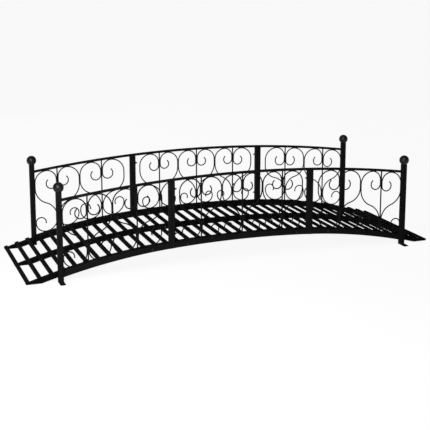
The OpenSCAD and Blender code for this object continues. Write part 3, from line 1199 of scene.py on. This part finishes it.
@dataclass
class Welds:
    """The weld beads that show where tubes meet."""

    sizes: BridgeSizes
    paint: Paintwork
    slat_bead: Bead = Bead(0.013, 0.0028)
    frame_bead: Bead = Bead(0.0095, 0.0034)
    foot_bead: Bead = Bead(0.021, 0.004)
    slat_tuck: float = 0.0003
    slat_lift: float = 0.0002
    collar: float = 0.0013
    collar_tuck: float = 0.0004
    collar_rings: int = 7
    collar_sides: int = 40
    crease_deg: float = 60.0

    def slat_beads(self) -> Surface:
        """A bead on either side of each slat where it crosses a stringer.

        Returns:
            All these beads as one surface.
        """
        s = self.sizes
        middle = s.half_walk - s.stringer / 2
        grid = np.meshgrid(s.slat_places(), [-middle, 0.0, middle], BOTH_WAYS, indexing="ij")
        x, y, way = (g.ravel() for g in grid)
        along, across, up = np.moveaxis(s.deck_axes(x), -1, 0)
        beside = way * (s.slat_width / 2 - self.slat_tuck)
        foot = points_at(x, y, s.deck_z(x, s.stringer))
        origins = foot + along * beside[:, None] + up * self.slat_lift
        return self.slat_bead.surface().placed(origins, np.stack([across, -along, up], -1))

    def rail_beads(self) -> Surface:
        """Beads where rails meet posts and uprights, and where a post stands on its foot tab.

        Returns:
            All these beads as one surface.
        """
        s = self.sizes
        x = np.array([s.post_face, s.end_face, s.mid_face])
        under = s.rail_under(x)
        heights = [s.deck_z(x, 0.0), s.rail_over(x), under, under[:1] + s.rail_size]
        spots = np.stack([np.concatenate([x, x, x, x[:1]]), np.concatenate(heights)], -1)
        foot = np.array([[s.end_post_x, s.foot_thickness]])
        rails, feet = (np.concatenate([at, at * [-1.0, 1.0]]) for at in (spots, foot))
        rail_y, foot_y = s.panel_y, s.panel_y + s.post_size / 2
        on_rails = self.frame_bead.set_at(rails, BOTH_WAYS * rail_y, RUN_ACROSS)
        on_feet = self.foot_bead.set_at(feet, BOTH_WAYS * foot_y, RUN_ALONG)
        return Surface.joined([on_rails, on_feet])

    def ball_collars(self) -> Surface:
        """A rounded fillet ring where each ball sits on its post: a small circle turned about the post.

        Returns:
            The four rings as one surface.
        """
        s = self.sizes
        seat = math.sqrt(s.ball_radius**2 - s.ball_seat**2) - self.collar_tuck
        a = np.linspace(-math.pi / 2, math.pi / 2, self.collar_rings)
        outline = np.stack([seat + self.collar * np.cos(a), s.post_top + self.collar * np.sin(a)], -1)
        x, y = (g.ravel() for g in np.meshgrid(BOTH_WAYS, BOTH_WAYS, indexing="ij"))
        corners = points_at(x * s.end_post_x, y * s.panel_y, 0.0)
        return turned(outline, self.collar_sides).placed(corners, np.eye(3))

    def build(self) -> list[Piece]:
        """Builds the beads as three pieces.

        Returns:
            The new pieces.
        """
        paint = self.paint
        groups = (
            ("slat_welds", self.slat_beads(), paint.deck, "deck_coat"),
            ("rail_welds", self.rail_beads(), paint.frame, "frame_coat"),
            ("ball_welds", self.ball_collars(), paint.finial, "finial_coat"),
        )
        return [paint.dress(s.build(name, self.crease_deg), coat, slot) for name, s, coat, slot in groups]


class LampKind(Enum):
    """The two kinds of lamp: even light from far away, and a square soft panel near the bridge."""

    FAR = "SUN"
    PANEL = "AREA"


@dataclass(frozen=True)
class Lamp:
    """A soft lamp that is aimed at the bridge.

    Attributes:
        kind: Which kind of lamp.
        place: Where it hangs. For a far lamp only the way there counts.
        power: Its power, in watts, or for a far lamp its light on a surface that faces it.
        size: Side of the panel, or width of a far lamp in the sky, in degrees.
        aim: Point that it faces.
    """

    kind: LampKind
    place: Triple
    power: float
    size: float
    aim: Triple = (0.0, 0.0, 0.0)

    def hang(self, name: str) -> None:
        """Hangs the lamp.

        Args:
            name: Name of the lamp.
        """
        far = self.kind is LampKind.FAR
        data = bpy.data.lights.new(name, self.kind.value)
        data.energy = self.power
        if far:
            data.angle = math.radians(self.size)
        else:
            data.size = self.size
        lamp = bpy.data.objects.new(name, data)
        lamp.location = self.place
        lamp.rotation_mode = "QUATERNION"
        lamp.rotation_quaternion = (Vector(self.place) - Vector(self.aim)).to_track_quat("Z", "Y")
        lamp.visible_camera = far
        bpy.context.scene.collection.objects.link(lamp)


@dataclass
class Studio:
    """Camera, plain pale floor and soft light."""

    eye: Triple = (-1.79934, -4.706482, 1.460595)
    turn_deg: float = 20.739
    tilt_deg: float = 10.726
    roll_deg: float = 0.043
    focal_px: float = 988.919
    frame_px: float = 430.0
    drop_px: float = 65.0
    sensor_mm: float = 36.0
    sight: float = 500.0
    floor_size: float = 160.0
    floor_drop: float = 0.0005
    floor_tone: float = 0.9
    floor_glow: float = 0.9
    floor_bounce: float = 0.15
    sky: float = 0.03
    lamps: tuple[Lamp, ...] = (
        Lamp(LampKind.FAR, (-0.5, -0.55, 0.7), 2.0, 40.0),
        Lamp(LampKind.FAR, (0.7, 0.2, 0.7), 0.12, 60.0),
        Lamp(LampKind.PANEL, (-1.6, -2.2, 1.3), 70.0, 1.0, (-0.7, 0.0, 0.2)),
        Lamp(LampKind.PANEL, (-1.2, 4.5, 1.9), 20.0, 1.6, (-0.6, 0.0, 0.2)),
    )

    def camera(self) -> None:
        """Sets the camera at the photograph's angle, its picture square."""
        turn, tilt, roll = (math.radians(v) for v in (self.turn_deg, self.tilt_deg, self.roll_deg))
        level = math.cos(tilt)
        ahead = Vector((math.sin(turn) * level, math.cos(turn) * level, -math.sin(tilt)))
        right = ahead.cross(Vector(UP)).normalized()
        up = right.cross(ahead)
        rolled_right = math.cos(roll) * right + math.sin(roll) * up
        rolled_up = math.cos(roll) * up - math.sin(roll) * right
        data = bpy.data.cameras.new("camera")
        data.sensor_width = self.sensor_mm
        data.lens = self.focal_px / self.frame_px * data.sensor_width
        data.shift_y = -self.drop_px / self.frame_px
        data.clip_end = self.sight
        camera = bpy.data.objects.new("camera", data)
        axes = Matrix((rolled_right, rolled_up, -ahead)).transposed().to_4x4()
        camera.matrix_world = Matrix.Translation(self.eye) @ axes
        bpy.context.scene.collection.objects.link(camera)
        bpy.context.scene.camera = camera

    def floor(self) -> None:
        """Lays a wide pale floor at ground level.

        It shows part white and part lit, so that shadows stay, and throws little light back under the bridge.
        """
        x, y = self.floor_size / 2 * np.array([[-1.0, 1.0, 1.0, -1.0], [-1.0, -1.0, 1.0, 1.0]])
        corners = points_at(x, y, -self.floor_drop)
        floor = Surface(corners, np.array([[0, 1, 2, 3]]), np.zeros((0, 3), int)).build("studio_floor")
        made, sheet, shader = new_material("pale_floor")
        matt = {"Base Color": grey(self.floor_tone), "Roughness": 1.0, "Specular IOR Level": 0.0}
        sheet.feed(shader, matt)
        path = sheet.put("ShaderNodeLightPath").outputs
        seen = path["Is Camera Ray"]
        for ray in ("Is Glossy Ray", "Is Transmission Ray"):
            seen = sheet.total(seen, path[ray], True)
        glow = sheet.put("ShaderNodeEmission", {"Color": grey(1.0), "Strength": 1.0}).outputs[0]
        shown = sheet.mixed(self.floor_glow, shader.outputs[0], glow)
        bounce = sheet.put("ShaderNodeBsdfDiffuse", {"Color": grey(self.floor_bounce)}).outputs[0]
        mix = sheet.mixed(seen, bounce, shown)
        sheet.feed(made.node_tree.nodes["Material Output"], {"Surface": mix})
        floor.data.materials.append(made)

    def light(self) -> None:
        """Hangs the soft lamps and sets an even, dim world."""
        for i, lamp in enumerate(self.lamps):
            lamp.hang(f"lamp_{i}")
        world = bpy.data.worlds.new("studio")
        world.use_nodes = True
        world.node_tree.nodes["Background"].inputs["Color"].default_value = grey(self.sky)
        bpy.context.scene.world = world

    def build(self) -> None:
        """Sets up the whole studio."""
        self.camera()
        self.floor()
        self.light()
        bpy.context.scene.view_settings.view_transform = "Standard"
        LOG.info("studio ready")


def main() -> None:
    """Builds the studio and the bridge's dressing, in order, and reports each piece."""
    logging.basicConfig(level=logging.INFO, format="%(name)s: %(message)s")
    sizes = BridgeSizes()
    Studio().build()
    paint = Paintwork()
    paint.coat_solids()
    pieces = [ScrollPanel(sizes, paint, side, bay).build() for side in Side for bay in Bay]
    for group in (DeckSlats, Fixings, Welds):
        pieces += group(sizes, paint).build()
    for piece in pieces:
        LOG.info("piece %s: %d faces", piece.name, len(piece.data.polygons))


if __name__ == "__main__":
    main()
